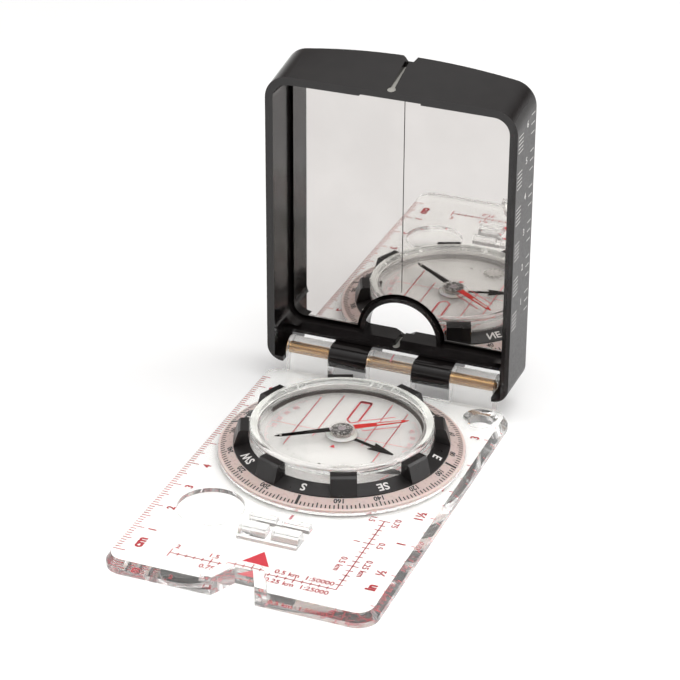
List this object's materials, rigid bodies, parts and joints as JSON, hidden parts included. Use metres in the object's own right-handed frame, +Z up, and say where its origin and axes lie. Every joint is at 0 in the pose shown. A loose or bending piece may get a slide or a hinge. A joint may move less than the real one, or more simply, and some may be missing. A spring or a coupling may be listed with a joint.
{
  "type": "mirror sighting compass",
  "caption": "Clear baseplate compass with a rotating dial, liquid capsule, needle, clinometer pointer and a hinged mirror lid with sighting notches.",
  "frame": {"origin": "on the flat underside of the baseplate, straight under the dial's centre", "axes": "+X to the user's right, +Y the sighting direction towards the hinge, +Z up out of the dial"},
  "size_m": [0.065, 0.1086, 0.0871],
  "materials": {
    "clear_acrylic": "clear moulded acrylic, polished, bevelled ruler edge",
    "brass_pin": "drawn brass rod",
    "black_moulding": "moulded black plastic, satin",
    "mirror": "second-surface mirror with a bevelled edge",
    "adhesive": "foam adhesive sheet",
    "luminous_inlay": "luminous filler, grey by day",
    "degree_ring": "translucent pink-grey plastic with dark print",
    "black_bezel": "moulded black plastic, satin, white print",
    "clear_capsule": "clear moulded acrylic, polished",
    "clear_retainer": "natural translucent plastic",
    "steel": "hardened steel, ground point",
    "clear_disc": "clear plastic disc with red print",
    "brass_screw": "turned brass",
    "black_pointer": "black painted sheet",
    "clear_hub": "clear moulded cap",
    "jewel": "synthetic sapphire",
    "magnet": "sintered magnet",
    "needle_red": "red painted sheet with a luminous stripe",
    "needle_black": "black painted sheet"
  },
  "bodies": {
    "base": {"baseplate": "clear_acrylic", "hinge_pin": "brass_pin"},
    "lid": {"lid_frame": "black_moulding", "mirror": "mirror", "mirror_adhesive": "adhesive", "upper_sight_inlay": "luminous_inlay", "lower_sight_inlay": "luminous_inlay"},
    "dial": {"degree_ring": "degree_ring", "bezel_ring": "black_bezel", "capsule_cup": "clear_capsule", "capsule_window": "clear_capsule", "retaining_ring": "clear_retainer", "pivot_base": "clear_capsule", "pivot_pin": "steel"},
    "declination_plate": {"declination_disc": "clear_disc"},
    "declination_drive": {"declination_screw": "brass_screw"},
    "needle": {"needle_hub": "clear_hub", "needle_jewel": "jewel", "needle_magnet": "magnet", "needle_north": "needle_red", "needle_south": "needle_black"},
    "clinometer": {"clinometer_pointer": "black_pointer"}
  },
  "joints": [
    {"name": "lid_hinge", "type": "hinge", "parent": "base", "child": "lid", "pos_m": [0, 0.034, 0.008], "axis": [-1, 0, 0], "range_deg": [-90, 90]},
    {"name": "dial_turn", "type": "hinge", "parent": "base", "child": "dial", "pos_m": [0, 0, 0], "axis": [0, 0, -1], "continuous": true},
    {"name": "declination_setting", "type": "hinge", "parent": "dial", "child": "declination_plate", "pos_m": [0, 0, 0], "axis": [0, 0, -1], "range_deg": [-30, 30]},
    {"name": "declination_screw_turn", "type": "hinge", "parent": "dial", "child": "declination_drive", "pos_m": [0.00612, -0.01478, 0], "axis": [0, 0, -1], "range_deg": [-235, 235]},
    {"name": "needle_swing", "type": "hinge", "parent": "dial", "child": "needle", "pos_m": [0, 0, 0], "axis": [0, 0, -1], "continuous": true},
    {"name": "clinometer_swing", "type": "hinge", "parent": "dial", "child": "clinometer", "pos_m": [0, 0, 0], "axis": [0, 0, -1], "continuous": true}
  ],
  "couplings": [
    {"joint": "declination_screw_turn", "follows": "declination_setting", "ratio": 7.6667}
  ]
}
